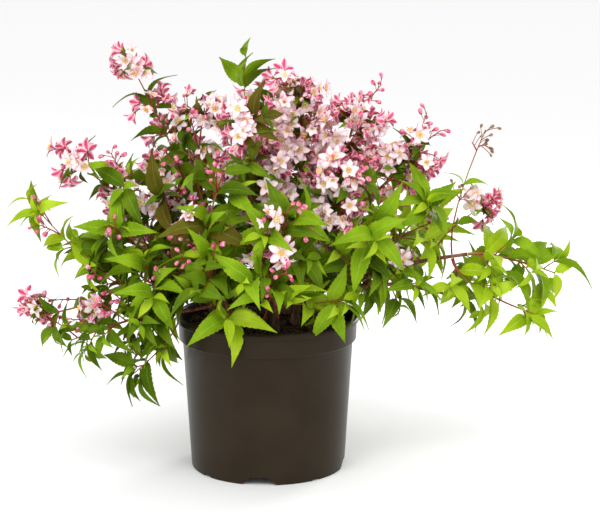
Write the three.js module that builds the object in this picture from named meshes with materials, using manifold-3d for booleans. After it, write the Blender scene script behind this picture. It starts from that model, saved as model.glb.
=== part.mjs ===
// A pink-flowered deutzia shrub in a black nursery pot, in millimetres, +Z up.
// The origin is the centre of the pot's flat underside. Bearings are degrees round the pot:
// 0 points right, 90 to the back, 180 left and 270 to the front.
import * as THREE from "three";
import { mergeVertices } from "three/addons/utils/BufferGeometryUtils.js";
import Module from "manifold-3d";

const wasm = await Module();
wasm.setup();

// Driving dimensions of the pot, a 3.5 litre container with a deep rim band
const POT_HEIGHT = 162;
const RIM_RADIUS = 95;
const LIP_DEPTH = 6.5;
const BAND_RADIUS = 92;
const BAND_DEPTH = 26;
const BODY_TOP_RADIUS = 88.5;
const FOOT_RADIUS = 80;
const WALL = 2;
const FLOOR_HEIGHT = 7.5;
const PAD_RADIUS = 38;
const POT_FACETS = 32;
const DRAINS = 4;
const DRAIN_BEARING = 263;
const DRAIN_WIDTH = 38;
const DRAIN_TOP_WIDTH = 20;
const NICK_WIDTH = 11;
const NICK_HEIGHT = 1.3;

// Compost, filled to just under the lip
const SOIL_LEVEL = 151;
const SOIL_EDGE = 148.5;
const SOIL_FLAT_RADIUS = 64;
const SOIL_FACETS = 28;

// Clear distances between separate pieces, and between the rooms of two masses
const CLEARANCE = 0.3;
const MASS_GAP = 1.2;

// Twigs, leaves and flowers
const SEED = 7301;
const STEM_RADIUS = 2.6;
const STEM_TIP_RADIUS = 1.7;
const SHOOT_RADIUS = 1;
const SHOOT_TIP_RADIUS = 0.9;
const SHOOT_SIZES = [1, 0.6];
const STAGGER = 3;
const LEAF_WIDTH = 0.47;
const LEAF_THICKNESS = 0.03;
const LEAF_DROOP = 0.14;
const ROOT_SINK = 0.3;
const FLOWER_RADIUS = 13;
const FLOWER_DEPTH = 14;
const BUD_LENGTH = 12;
const BUD_WIDTH = 0.5;
const LONG_SHOOT = 18;
const LAST_PAIR = 0.9;
const TIP_SETBACK = 2;
const LEAN = 2.4;
// Turns round its twig that a piece with no room is tried at, in radians
const TURNS = [0, 0.5, -0.5, 1, -1];

const UP = new THREE.Vector3(0, 0, 1);

// Main stems rise from the compost, each with a flared foot and a flat cut at ground level.
const STEMS = [
  { name: "stem_left", foot: [189, 52], tip: [187, 82, 204], radii: [4.6, 3.1] },
  { name: "stem_front_left", foot: [224, 44], tip: [221, 74, 198], radii: [3.8, 2.6] },
  { name: "stem_upper_left", foot: [180, 25], tip: [180, 63, 272], radii: [4.4, 2.7] },
  { name: "stem_centre", foot: [60, 6], tip: [20, 16, 296], radii: [4.6, 2.7] },
  { name: "stem_upper_right", foot: [350, 28], tip: [351, 58, 276], radii: [4.2, 2.6] },
  { name: "stem_right", foot: [333, 50], tip: [346, 97, 202], radii: [4.4, 3.1] },
  { name: "stem_right_back", foot: [20, 52], tip: [20, 104, 180], radii: [3.8, 2.7] },
  { name: "stem_back_left", foot: [135, 40], tip: [133, 96, 222], radii: [4.2, 2.8] },
  { name: "stem_back_right", foot: [62, 40], tip: [62, 88, 232], radii: [4.2, 2.8] },
  { name: "stem_front", foot: [282, 36], tip: [279, 66, 208], radii: [3.8, 2.5] },
  { name: "pruned_stem", foot: [40, 52], tip: [31, 136, 178], radii: [4, 3.4] },
];

// Boughs spring from a stem at a share of its length and end where they enter a mass.
const BOUGHS = [
  { name: "bough_left", on: "stem_left", at: 1, tip: [187, 164, 210], radii: [2.6, 1.7] },
  { name: "bough_left_low", on: "stem_front_left", at: 0.7, tip: [207, 118, 176], radii: [2.2, 1.5] },
  { name: "bough_plume", on: "stem_upper_left", at: 0.9, tip: [178, 98, 336], radii: [2.1, 1.5] },
  { name: "bough_dome_right", on: "stem_upper_right", at: 0.9, tip: [2, 120, 296], radii: [2.1, 1.5] },
  { name: "bough_right", on: "stem_right", at: 1, tip: [352, 206, 230], radii: [2.7, 1.7] },
  { name: "bough_right_low", on: "stem_right_back", at: 1, tip: [9, 190, 174], radii: [2.2, 1.5] },
  { name: "bough_back_low_left", on: "stem_back_left", at: 0.7, tip: [113, 138, 186], radii: [2, 1.4] },
  { name: "bough_back_low_right", on: "stem_back_right", at: 0.66, tip: [62, 140, 186], radii: [2, 1.4] },
];

// Foliage masses. Each grows from a limb to the end of its own axis, in the room round that axis.
// Pairs is the number of opposite side shoots, shoot their length and leaf the length of a leaf.
// Bloom is the share of tips that flower, in bud where closed. Lift is how far shoots turn up or hang,
// bare the share of the axis before the first shoots, bend how long it keeps its first heading.
const MASSES = [
  { name: "plume_top_left", on: "bough_plume", end: [180, 142, 430],
    shoot: 22, bloom: 1, leaf: 36, lift: 0.2 },
  { name: "plume_left", on: "stem_upper_left", at: 0.86, end: [179, 208, 332],
    shoot: 24, bloom: 1, leaf: 36, bare: 0.5 },
  { name: "far_left_spray", on: "bough_left", end: [182, 246, 286],
    shoot: 16, leaf: 32, lift: 0.1, bare: 0.45, bend: 0.12 },
  { name: "left_upper", on: "bough_plume", at: 0.45, end: [187, 152, 308],
    pairs: 2, shoot: 24, bloom: 0.3, leaf: 50 },
  { name: "left_middle", on: "bough_left", at: 0.5, end: [190, 166, 250],
    shoot: 34, bloom: 0.1, leaf: 50 },
  { name: "left_low_tip", on: "bough_left", at: 0.85, end: [191, 240, 170],
    shoot: 32, bloom: 0.5, leaf: 42, lift: -0.1 },
  { name: "left_low", on: "bough_left_low", end: [196, 208, 148],
    pairs: 4, shoot: 30, leaf: 44, lift: 0.1, bend: 0.2 },
  { name: "left_hang", on: "bough_left_low", at: 0.8, end: [205, 154, 112],
    pairs: 2, shoot: 14, leaf: 44, lift: -0.4, bare: 0.5 },
  { name: "left_inner", on: "stem_left", at: 0.7, end: [206, 140, 212], shoot: 34, leaf: 52 },
  { name: "dome_left", on: "stem_upper_left", end: [184, 62, 386],
    shoot: 34, bloom: 0.75, leaf: 44, lift: 0.2 },
  { name: "top_shoot", on: "stem_centre", at: 0.92, end: [160, 30, 434],
    pairs: 1, shoot: 8, leaf: 40, lift: 1.2, bare: 0.96 },
  { name: "dome_centre", on: "stem_centre", end: [352, 36, 406],
    pairs: 4, shoot: 36, bloom: 0.85, leaf: 44, lift: 0.2 },
  { name: "dome_right", on: "stem_upper_right", end: [0, 94, 374],
    pairs: 4, shoot: 36, bloom: 0.85, leaf: 44, lift: 0.2 },
  { name: "dome_far_right", on: "bough_dome_right", end: [3, 158, 338],
    shoot: 32, bloom: 0.9, leaf: 42, lift: 0.1 },
  { name: "sprig_right", on: "bough_right", at: 0.9, end: [4, 225, 351],
    pairs: 2, shoot: 14, bloom: 0.8, closed: true, leaf: 26, lift: 0.3, bare: 0.55 },
  { name: "flower_right", on: "bough_right", at: 0.78, end: [4, 232, 277],
    pairs: 1, shoot: 10, bloom: 1, leaf: 30, bare: 0.9 },
  { name: "right_front", on: "stem_right", at: 0.84, end: [323, 138, 276], shoot: 30, leaf: 52 },
  { name: "right_middle", on: "bough_right", at: 0.4, end: [353, 168, 280],
    shoot: 34, bloom: 0.2, leaf: 48 },
  { name: "right_far", on: "bough_right", end: [356, 296, 208],
    pairs: 4, shoot: 30, leaf: 48, lift: -0.05 },
  { name: "right_far_low", on: "bough_right", at: 0.9, end: [350, 280, 170],
    shoot: 28, leaf: 46, lift: 0.1 },
  { name: "right_under", on: "bough_right", at: 0.2, end: [340, 164, 204],
    shoot: 28, leaf: 38, lift: 0.1 },
  { name: "right_back_low", on: "bough_right_low", end: [10, 225, 198],
    pairs: 2, shoot: 24, leaf: 44, lift: 0.1 },
  { name: "front_left", on: "stem_front_left", end: [240, 86, 326],
    pairs: 4, shoot: 34, bloom: 0.2, leaf: 52 },
  { name: "front_centre", on: "stem_front", end: [279, 108, 290],
    pairs: 4, shoot: 34, bloom: 0.5, leaf: 48 },
  { name: "front_low_left", on: "stem_front_left", at: 0.82, end: [238, 118, 232], shoot: 34, leaf: 52 },
  { name: "front_low", on: "stem_front", at: 0.8, end: [270, 120, 228], pairs: 4, shoot: 32, leaf: 52 },
  { name: "rim_front_left", on: "stem_front_left", at: 0.5, end: [250, 116, 182],
    pairs: 2, shoot: 16, leaf: 46, lift: -0.3, bare: 0.6 },
  { name: "rim_front_right", on: "stem_front", at: 0.55, end: [313, 112, 196],
    pairs: 2, shoot: 18, leaf: 42, lift: -0.3, bare: 0.4 },
  { name: "dome_front", on: "stem_centre", at: 0.8, end: [250, 70, 380],
    shoot: 36, bloom: 0.7, leaf: 46, lift: 0.1 },
  { name: "dome_front_right", on: "stem_upper_right", at: 0.84, end: [317, 110, 322],
    pairs: 4, shoot: 34, bloom: 0.75, leaf: 46, lift: 0.1 },
  { name: "back_left", on: "stem_back_left", end: [133, 160, 300], shoot: 42, bloom: 0.4, leaf: 54 },
  { name: "back_centre", on: "stem_back_right", at: 0.88, end: [95, 140, 304],
    shoot: 42, bloom: 0.5, leaf: 54 },
  { name: "back_right", on: "stem_back_right", end: [47, 166, 292], shoot: 42, bloom: 0.5, leaf: 54 },
  { name: "back_low_left", on: "bough_back_low_left", end: [114, 184, 200],
    pairs: 2, shoot: 36, leaf: 52 },
  { name: "back_low_right", on: "bough_back_low_right", end: [64, 186, 202],
    pairs: 2, shoot: 36, leaf: 52 },
  { name: "back_top", on: "stem_centre", at: 0.86, end: [84, 70, 374],
    shoot: 42, bloom: 0.7, leaf: 50, lift: 0.2 },
  { name: "left_back", on: "stem_back_left", at: 0.86, end: [157, 180, 236],
    pairs: 2, shoot: 38, bloom: 0.2, leaf: 52 },
  { name: "right_back", on: "stem_right_back", at: 0.86, end: [27, 200, 236],
    shoot: 38, bloom: 0.2, leaf: 52 },
];
const MASS_DEFAULTS = { at: 1, pairs: 3, bloom: 0, lift: 0, bare: 0.2, bend: 0.28, closed: false };

function material(color, roughness) {
  return new THREE.MeshStandardMaterial({ color, roughness, metalness: 0 });
}

const PLASTIC = material(0x2b2724, 0.42);
const COMPOST = material(0x241a14, 0.95);
const BARK = material(0x6b4330, 0.85);
const LEAFY = material(0x5c9a1e, 0.6);
const FLOWERING = material(0xe79ab4, 0.7);

// A point from a bearing in degrees, a reach from the pot's axis and a height.
function place([bearing, reach, height = 0]) {
  const angle = THREE.MathUtils.degToRad(bearing);
  return new THREE.Vector3(reach * Math.cos(angle), reach * Math.sin(angle), height);
}

// The sum of some directions, each with its own share, as a unit vector
function blend(...shares) {
  const sum = new THREE.Vector3();
  for (const [direction, share] of shares) sum.addScaledVector(direction, share);
  return sum.normalize();
}

// A geometry as a solid that manifold-3d can cut and join, with faces of no area left out.
function solidOf(geometry) {
  const bare = geometry.clone();
  bare.deleteAttribute("normal");
  bare.deleteAttribute("uv");
  const merged = mergeVertices(bare, 1e-4);
  const corners = merged.index.array;
  const kept = [];
  for (let i = 0; i < corners.length; i += 3) {
    const [a, b, c] = corners.subarray(i, i + 3);
    if (a !== b && b !== c && c !== a) kept.push(a, b, c);
  }
  return new wasm.Manifold(
    new wasm.Mesh({
      numProp: 3,
      vertProperties: merged.attributes.position.array,
      triVerts: new Uint32Array(kept),
    }),
  );
}

function namedMesh(name, solid, finish) {
  const shape = solid.getMesh();
  const geometry = new THREE.BufferGeometry();
  geometry.setAttribute("position", new THREE.BufferAttribute(shape.vertProperties, 3));
  geometry.setIndex(new THREE.BufferAttribute(shape.triVerts, 1));
  geometry.computeVertexNormals();
  const mesh = new THREE.Mesh(geometry, finish);
  mesh.name = name;
  return mesh;
}

// Moves every vertex of a geometry by a rule that changes the point it is given.
function reshape(geometry, rule) {
  const positions = geometry.attributes.position;
  const point = new THREE.Vector3();
  for (let i = 0; i < positions.count; i++) {
    rule(point.fromBufferAttribute(positions, i));
    positions.setXYZ(i, point.x, point.y, point.z);
  }
  return geometry;
}

function lathe(profile, facets) {
  const points = profile.map(([r, z]) => new THREE.Vector2(r, z));
  return solidOf(new THREE.LatheGeometry(points, facets).rotateX(Math.PI / 2));
}

// Pot: one moulded shell with a rolled lip, a deep rim band and a floor raised round a flat centre pad
function makePot() {
  const bandFoot = POT_HEIGHT - BAND_DEPTH;
  let shell = lathe(
    [
      [0, 0],
      [PAD_RADIUS, 0],
      [PAD_RADIUS + 4, FLOOR_HEIGHT],
      [FOOT_RADIUS - 9, FLOOR_HEIGHT],
      [FOOT_RADIUS - WALL - 2, 0],
      [FOOT_RADIUS, 0],
      [BODY_TOP_RADIUS, bandFoot],
      [BAND_RADIUS, bandFoot + 1.5],
      [BAND_RADIUS + 0.6, POT_HEIGHT - LIP_DEPTH],
      [RIM_RADIUS, POT_HEIGHT - LIP_DEPTH + 1],
      [RIM_RADIUS, POT_HEIGHT - 1.2],
      [RIM_RADIUS - 1.2, POT_HEIGHT],
      [BAND_RADIUS - WALL, POT_HEIGHT],
      [BAND_RADIUS - WALL, bandFoot + 3],
      [BODY_TOP_RADIUS - WALL, bandFoot + 1],
      [FOOT_RADIUS - WALL, FLOOR_HEIGHT + WALL],
      [PAD_RADIUS + 3, FLOOR_HEIGHT + WALL],
      [PAD_RADIUS - 1, WALL],
      [0, WALL],
    ],
    POT_FACETS,
  );
  for (let i = 0; i < DRAINS; i++) {
    const bearing = DRAIN_BEARING + (i * 360) / DRAINS;
    shell = shell.subtract(footCut(bearing, DRAIN_WIDTH, DRAIN_TOP_WIDTH, FLOOR_HEIGHT + 0.6));
    shell = shell.subtract(footCut(bearing + 180 / DRAINS, NICK_WIDTH, NICK_WIDTH, NICK_HEIGHT));
  }
  return namedMesh("pot", shell, PLASTIC);
}

// The wedge that is cut out of the pot's lower edge: a trapezium, pushed through the wall
function footCut(bearing, width, topWidth, height) {
  const outline = new THREE.Shape([
    new THREE.Vector2(-width / 2, -1),
    new THREE.Vector2(width / 2, -1),
    new THREE.Vector2(topWidth / 2, height),
    new THREE.Vector2(-topWidth / 2, height),
  ]);
  const inner = PAD_RADIUS + 14;
  const wedge = new THREE.ExtrudeGeometry(outline, { depth: RIM_RADIUS - inner, bevelEnabled: false });
  wedge.rotateX(Math.PI / 2).translate(0, RIM_RADIUS, 0);
  wedge.rotateZ(THREE.MathUtils.degToRad(bearing - 90));
  return solidOf(wedge);
}

// Compost: a plug that fills the pot, flat where the stems stand and a little lower at the wall
function makeSoil() {
  const floor = FLOOR_HEIGHT + WALL + CLEARANCE;
  const shoulder = POT_HEIGHT - BAND_DEPTH;
  const slope = (BODY_TOP_RADIUS - FOOT_RADIUS) / shoulder;
  const wallAt = (z) => FOOT_RADIUS + slope * z - WALL - 3 * CLEARANCE;
  const plug = lathe(
    [
      [0, floor],
      [wallAt(floor) - 1, floor],
      [wallAt(shoulder), shoulder],
      [wallAt(shoulder), SOIL_EDGE],
      [SOIL_FLAT_RADIUS, SOIL_LEVEL],
      [0, SOIL_LEVEL],
    ],
    SOIL_FACETS,
  );
  return namedMesh("compost", plug, COMPOST);
}

// A limb or twig: a cylinder whose rings are laid along a curve and narrowed by a rule. The middle of
// each end is drawn to its edge, to save faces. A level foot has its first ring flat on the ground.
function taperedTube(curve, radiusAt, sides, rings, levelFoot = false) {
  const tube = new THREE.CylinderGeometry(1, 1, 1, sides, rings);
  const frames = [];
  let normal = null;
  for (let i = 0; i <= rings; i++) {
    const tangent = levelFoot && i === 0 ? UP : curve.getTangent(i / rings).normalize();
    normal ??= new THREE.Vector3(...(Math.abs(tangent.x) < 0.8 ? [1, 0, 0] : [0, 1, 0]));
    normal = blend([normal, 1], [tangent, -normal.dot(tangent)]);
    const binormal = new THREE.Vector3().crossVectors(normal, tangent);
    frames.push({ centre: curve.getPoint(i / rings), normal, binormal });
  }
  return solidOf(
    reshape(tube, (p) => {
      const ring = Math.round((p.y + 0.5) * rings);
      if (Math.hypot(p.x, p.z) < 0.5) p.z = 1;
      const { centre, normal: across, binormal } = frames[ring];
      const radius = radiusAt(ring / rings);
      const [u, v] = [p.x * radius, p.z * radius];
      p.copy(centre).addScaledVector(across, u).addScaledVector(binormal, v);
    }),
  );
}

// Where and which way a branch leaves a limb: straight on from its tip, or square off its side
// towards the branch's end. The branch's first ring stands clear of the limb by CLEARANCE.
function springFrom(limb, at, end) {
  const centre = limb.curve.getPoint(at);
  const tangent = limb.curve.getTangent(at).normalize();
  if (at === 1) return { start: centre.addScaledVector(tangent, CLEARANCE), heading: tangent };
  const away = end.clone().sub(centre);
  const heading = blend([away, 1], [tangent, -away.dot(tangent)]);
  return { start: centre.addScaledVector(heading, limb.radiusAt(at) + CLEARANCE), heading };
}

// A curve that leaves its start along a heading and bends over to its end
function branchCurve({ start, heading }, end, firmness) {
  const middle = start.clone().addScaledVector(heading, firmness * start.distanceTo(end));
  return new THREE.QuadraticBezierCurve3(start, middle, end);
}

function tapered(radii) {
  return (t) => THREE.MathUtils.lerp(radii[0], radii[1], t);
}

function makeStem({ name, foot, tip, radii }) {
  const start = place([...foot, SOIL_LEVEL + CLEARANCE]);
  const end = place(tip);
  const middle = start.clone().lerp(end, 0.3);
  middle.z = THREE.MathUtils.lerp(start.z, end.z, 0.62);
  const curve = new THREE.QuadraticBezierCurve3(start, middle, end);
  const radiusAt = (t) => tapered(radii)(t) + 0.55 * radii[0] * Math.exp(-t * 14);
  return { name, curve, radiusAt, solid: taperedTube(curve, radiusAt, 6, 5, true) };
}

function makeBough({ name, on, at, tip, radii }, limbs) {
  const end = place(tip);
  const curve = branchCurve(springFrom(limbs.get(on), at, end), end, 0.3);
  return { name, curve, radiusAt: tapered(radii), solid: taperedTube(curve, tapered(radii), 5, 4) };
}

// The same numbers from the same seed, each between 0 and 1
function seededRandom(seed) {
  let state = seed >>> 0;
  return () => {
    state = (state + 0x6d2b79f5) >>> 0;
    let mixed = Math.imul(state ^ (state >>> 15), state | 1);
    mixed ^= mixed + Math.imul(mixed ^ (mixed >>> 7), mixed | 61);
    return ((mixed ^ (mixed >>> 14)) >>> 0) / 4294967296;
  };
}

function distanceToSegment(point, a, b) {
  const ab = b.clone().sub(a);
  const share = THREE.MathUtils.clamp(point.clone().sub(a).dot(ab) / ab.lengthSq(), 0, 1);
  return point.distanceTo(a.clone().addScaledVector(ab, share));
}

// Whether a point is clear of the pot and the compost
function clearOfPot(point) {
  if (point.z > POT_HEIGHT + 1) return true;
  const radius = Math.hypot(point.x, point.y);
  if (radius > RIM_RADIUS + 1.5) return point.z > 3;
  return radius < BAND_RADIUS - WALL - 2 && point.z > SOIL_LEVEL + 1;
}

// Whether a point lies in a mass's own room: nearer to its axis than to the axis of any other mass
function inOwnRoom(point, mass, masses) {
  const own = distanceToSegment(point, mass.start, mass.end);
  return masses.every((m) => m === mass || distanceToSegment(point, m.start, m.end) > own + MASS_GAP);
}

function boxesMeet(a, b) {
  return [0, 1, 2].every((i) => a.min[i] < b.max[i] + CLEARANCE && b.min[i] < a.max[i] + CLEARANCE);
}

// Whether a solid stands clear of every solid in a list
function standsClear(solid, others) {
  const box = solid.boundingBox();
  return others.every(
    (other) => !boxesMeet(box, other.boundingBox()) || solid.minGap(other, CLEARANCE) >= CLEARANCE,
  );
}

// Which way a leaf or flower at a point looks: up, and outwards from the middle of the plant
// but turned to either side by a lean
function skyAt(point, lean) {
  const outwards = new THREE.Vector3(point.x, point.y, 0).normalize().applyAxisAngle(UP, lean);
  return blend([UP, 0.5], [outwards, 0.75]);
}

// A leaf or bud: eight faces from a root sunk in the twig, widest before the middle, drooping at its tip
function blade(root, along, sky, length, width, thickness, droop) {
  const face = blend([sky, 1], [along, -sky.dot(along)]);
  const side = new THREE.Vector3().crossVectors(along, face);
  return solidOf(
    reshape(new THREE.OctahedronGeometry(1, 0), (p) => {
      const share = Math.abs(p.x) < 0.5 ? 0.42 : p.x > 0 ? 1 : -ROOT_SINK / length;
      const across = p.z * length * width * 0.5;
      const drop = share > 0 ? droop * share * share : 0;
      const height = length * (p.y * thickness * 0.5 - drop);
      p.copy(root).addScaledVector(along, share * length).addScaledVector(side, across);
      p.addScaledVector(face, height);
    }),
  );
}

// Points that stand for a leaf when room is looked for: along its midrib and at both edges
function bladeProbe(root, along, sky, length, width, droop) {
  const face = blend([sky, 1], [along, -sky.dot(along)]);
  const side = new THREE.Vector3().crossVectors(along, face);
  const at = (share, across) =>
    root
      .clone()
      .addScaledVector(along, share * length)
      .addScaledVector(face, -droop * share * share * length)
      .addScaledVector(side, across * width * length);
  return [at(0.42, 0), at(0.7, 0), at(1, 0), at(0.42, -0.5), at(0.42, 0.5)];
}

// A flower: a five-sided funnel from its root to its rim, with a hollow face
function flower(root, facing) {
  const turned = new THREE.Quaternion().setFromUnitVectors(UP, facing);
  return solidOf(
    reshape(new THREE.ConeGeometry(1, 1, 5, 1), (p) => {
      const onAxis = Math.hypot(p.x, p.z) < 0.5;
      const depth = onAxis ? (p.y > 0 ? -ROOT_SINK : 0.6 * FLOWER_DEPTH) : FLOWER_DEPTH;
      const spread = onAxis ? 0 : FLOWER_RADIUS;
      p.set(spread * p.x, spread * p.z, depth).applyQuaternion(turned).add(root);
    }),
  );
}

function flowerProbe(root, facing) {
  const turned = new THREE.Quaternion().setFromUnitVectors(UP, facing);
  return [0, 1, 2, 3, 4].map((i) => {
    const angle = (i * 2 * Math.PI) / 5;
    const rim = new THREE.Vector3(Math.sin(angle), Math.cos(angle), FLOWER_DEPTH / FLOWER_RADIUS);
    return rim.multiplyScalar(FLOWER_RADIUS).applyQuaternion(turned).add(root);
  });
}

// A direction square to another, turned round it by an angle from the level
function around(direction, angle) {
  const level = new THREE.Vector3().crossVectors(direction, UP);
  if (level.lengthSq() < 0.02) level.set(1, 0, 0).addScaledVector(direction, -direction.x);
  level.normalize();
  const upper = new THREE.Vector3().crossVectors(level, direction);
  return level.multiplyScalar(Math.cos(angle)).addScaledVector(upper, Math.sin(angle));
}

// Grows one mass: a stem along its axis with opposite side shoots, each with leaves or flowers.
// A piece is kept when it has room, and is tried again turned round its twig when it has none.
class Mass {
  constructor(row, number, limbs) {
    const limb = limbs.get(row.on);
    const end = place(row.end);
    const spring = springFrom(limb, row.at, end);
    const radius = Math.min(STEM_RADIUS, 1.3 * limb.radiusAt(row.at));
    Object.assign(this, row, { number, end, start: spring.start });
    this.curve = branchCurve(spring, end, this.bend);
    this.stem = taperedTube(this.curve, tapered([radius, STEM_TIP_RADIUS]), 3, 3);
    this.pieces = [this.stem];
  }

  random(shoot) {
    return seededRandom(SEED + 1000 * this.number + shoot);
  }

  // Keeps a piece that stays in this mass's room and touches nothing but the twig that it grows on.
  keep(solid, probe, twig, space) {
    if (!probe.every(clearOfPot)) return false;
    if (!probe.every((point) => inOwnRoom(point, this, space.masses))) return false;
    const others = this.pieces.filter((piece) => piece !== twig);
    if (!standsClear(solid, others) || !standsClear(solid, space.obstacles)) return false;
    this.pieces.push(solid);
    return true;
  }

  addLeaf(twig, root, tangent, angle, random, space) {
    const length = this.leaf * (0.8 + 0.35 * random());
    const sky = skyAt(root, (random() - 0.5) * LEAN);
    return TURNS.some((turn) => {
      const aside = around(tangent, angle + turn);
      const along = blend([aside, 0.8], [tangent, 0.5], [UP, this.lift * 0.5 - 0.15]);
      const solid = blade(root, along, sky, length, LEAF_WIDTH, LEAF_THICKNESS, LEAF_DROOP);
      const probe = bladeProbe(root, along, sky, length, LEAF_WIDTH, LEAF_DROOP);
      return this.keep(solid, probe, twig, space);
    });
  }

  addFlower(twig, root, tangent, angle, random, space) {
    const sky = skyAt(root, (random() - 0.5) * LEAN);
    return TURNS.some((turn) => {
      const facing = blend([around(tangent, angle + turn), 0.9], [tangent, 0.25], [sky, 0.4]);
      return this.keep(flower(root, facing), flowerProbe(root, facing), twig, space);
    });
  }

  addBud(twig, root, tangent, angle, space) {
    return TURNS.some((turn) => {
      const along = blend([around(tangent, angle + turn), 1], [tangent, 0.5]);
      const solid = blade(root, along, UP, BUD_LENGTH, BUD_WIDTH, BUD_WIDTH, 0);
      return this.keep(solid, bladeProbe(root, along, UP, BUD_LENGTH, BUD_WIDTH, 0), twig, space);
    });
  }

  // Dresses the tip of a twig or stem: open flowers, buds, or leaves, one a little behind the other
  dressTip(twig, curve, random, space) {
    const length = curve.getLength();
    const turn = random() * Math.PI;
    const flowers = random() < this.bloom;
    for (const i of length > 2 * STAGGER ? [0, 1] : [0]) {
      const t = 1 - (TIP_SETBACK + i * STAGGER) / length;
      const root = curve.getPoint(t);
      const tangent = curve.getTangent(t).normalize();
      const angle = turn + i * Math.PI;
      if (!flowers) this.addLeaf(twig, root, tangent, angle, random, space);
      else if (this.closed) this.addBud(twig, root, tangent, angle, space);
      else this.addFlower(twig, root, tangent, angle, random, space);
    }
  }

  // A shoot: a straight twig with its tip dressed and, when it is long, a leaf halfway
  addShoot(root, direction, length, random, space) {
    const line = new THREE.LineCurve3(root, root.clone().addScaledVector(direction, length));
    const twig = taperedTube(line, tapered([SHOOT_RADIUS, SHOOT_TIP_RADIUS]), 3, 1);
    if (!this.keep(twig, [line.getPoint(0.6), line.v2], this.stem, space)) return false;
    this.dressTip(twig, line, random, space);
    if (length > LONG_SHOOT) {
      this.addLeaf(twig, line.getPoint(0.45), direction, random() * 2 * Math.PI, random, space);
    }
    return true;
  }

  grow(space) {
    let turn = this.random(0)() * Math.PI;
    const span = this.curve.getLength();
    for (let pair = 0; pair < this.pairs; pair++) {
      turn += Math.PI / 2;
      for (const half of [0, 1]) {
        const share = pair / Math.max(1, this.pairs - 1);
        const t = THREE.MathUtils.lerp(this.bare, LAST_PAIR, share) - (half * STAGGER) / span;
        const tangent = this.curve.getTangent(t).normalize();
        const root = this.curve.getPoint(t);
        const random = this.random(1 + 2 * pair + half);
        const aside = around(tangent, turn + half * Math.PI + (random() - 0.5) * 0.6);
        const direction = blend([aside, 0.85], [tangent, 0.5], [UP, this.lift]);
        const length = this.shoot * (1 - 0.3 * t) * (0.75 + 0.5 * random());
        const grown = SHOOT_SIZES.some((size) =>
          this.addShoot(root, direction, length * size, random, space),
        );
        if (!grown) this.addLeaf(this.stem, root, tangent, turn + half * Math.PI, random, space);
      }
    }
    this.dressTip(this.stem, this.curve, this.random(99), space);
    return fused(this.pieces);
  }
}

// One solid of many: slivers are tidied away, and loose scraps and sealed hollows are dropped
function fused(pieces) {
  const joined = wasm.Manifold.union(pieces).simplify(0.05);
  return joined.decompose().reduce((largest, body) => (body.volume() > largest.volume() ? body : largest));
}

const deutzia = new THREE.Group();
deutzia.add(makePot(), makeSoil());

const limbs = new Map();
for (const stem of STEMS) limbs.set(stem.name, makeStem(stem));
for (const bough of BOUGHS) limbs.set(bough.name, makeBough(bough, limbs));
for (const limb of limbs.values()) deutzia.add(namedMesh(limb.name, limb.solid, BARK));

const masses = MASSES.map((row, number) => new Mass({ ...MASS_DEFAULTS, ...row }, number, limbs));
const grown = [];
for (const mass of masses) {
  const stems = masses.filter((other) => other !== mass).map((other) => other.stem);
  const obstacles = [...[...limbs.values()].map((limb) => limb.solid), ...stems, ...grown];
  const solid = mass.grow({ masses, obstacles });
  grown.push(solid);
  deutzia.add(namedMesh(mass.name, solid, mass.bloom > 0.5 ? FLOWERING : LEAFY));
}

export default deutzia;
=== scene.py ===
import math
from collections import namedtuple

import bmesh
import bpy
import numpy as np
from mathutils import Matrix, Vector


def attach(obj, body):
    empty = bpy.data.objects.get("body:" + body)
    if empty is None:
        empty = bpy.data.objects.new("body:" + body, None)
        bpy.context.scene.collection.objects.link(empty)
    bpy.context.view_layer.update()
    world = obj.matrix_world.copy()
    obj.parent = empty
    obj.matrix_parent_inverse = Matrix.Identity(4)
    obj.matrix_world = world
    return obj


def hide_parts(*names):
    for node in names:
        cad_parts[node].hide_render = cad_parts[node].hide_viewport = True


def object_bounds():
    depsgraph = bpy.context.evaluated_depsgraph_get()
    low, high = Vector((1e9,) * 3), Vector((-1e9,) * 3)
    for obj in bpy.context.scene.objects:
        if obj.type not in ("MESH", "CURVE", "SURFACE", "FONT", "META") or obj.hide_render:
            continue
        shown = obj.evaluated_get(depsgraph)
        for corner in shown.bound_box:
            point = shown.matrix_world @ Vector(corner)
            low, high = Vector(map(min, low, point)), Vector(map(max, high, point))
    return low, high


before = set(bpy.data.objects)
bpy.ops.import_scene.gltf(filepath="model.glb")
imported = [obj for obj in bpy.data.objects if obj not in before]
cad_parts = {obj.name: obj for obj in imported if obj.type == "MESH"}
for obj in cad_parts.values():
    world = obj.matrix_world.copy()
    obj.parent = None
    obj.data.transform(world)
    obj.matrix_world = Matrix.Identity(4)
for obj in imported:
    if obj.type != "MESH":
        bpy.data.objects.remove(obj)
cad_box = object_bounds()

# The studio: a seamless pale floor in a white room, seen from the front and a little above. A large
# soft light stands at the upper left, a small one at the upper right and a strip behind at the right.
CAMERA_DIP = 12.72
CAMERA_TURN = -0.8
FLOOR_GREY = 0.93

scene = bpy.context.scene
bpy.ops.object.select_all(action="DESELECT")
scene.view_settings.view_transform = "Standard"

bpy.ops.object.camera_add(location=(0, -2.4, 0.756))
camera = bpy.context.object
camera.name = "photo_view"
camera.rotation_euler = (math.radians(90 - CAMERA_DIP), 0, math.radians(CAMERA_TURN))
camera.data.sensor_width = 36
camera.data.lens = 142.9
scene.camera = camera

scene.world = bpy.data.worlds.new("white_room")
scene.world.use_nodes = True
room_light = scene.world.node_tree.nodes["Background"]
room_light.inputs["Color"].default_value = (1, 1, 1, 1)
room_light.inputs["Strength"].default_value = 1.0


def soft_light(name, place, aim, width, height, watts):
    bpy.ops.object.light_add(type="AREA", location=place)
    light = bpy.context.object
    light.name = name
    light.data.shape = "RECTANGLE"
    light.data.size = width
    light.data.size_y = height
    light.data.energy = watts
    away = light.location - Vector(aim)
    light.rotation_euler = away.to_track_quat("Z", "Y").to_euler()


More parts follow.
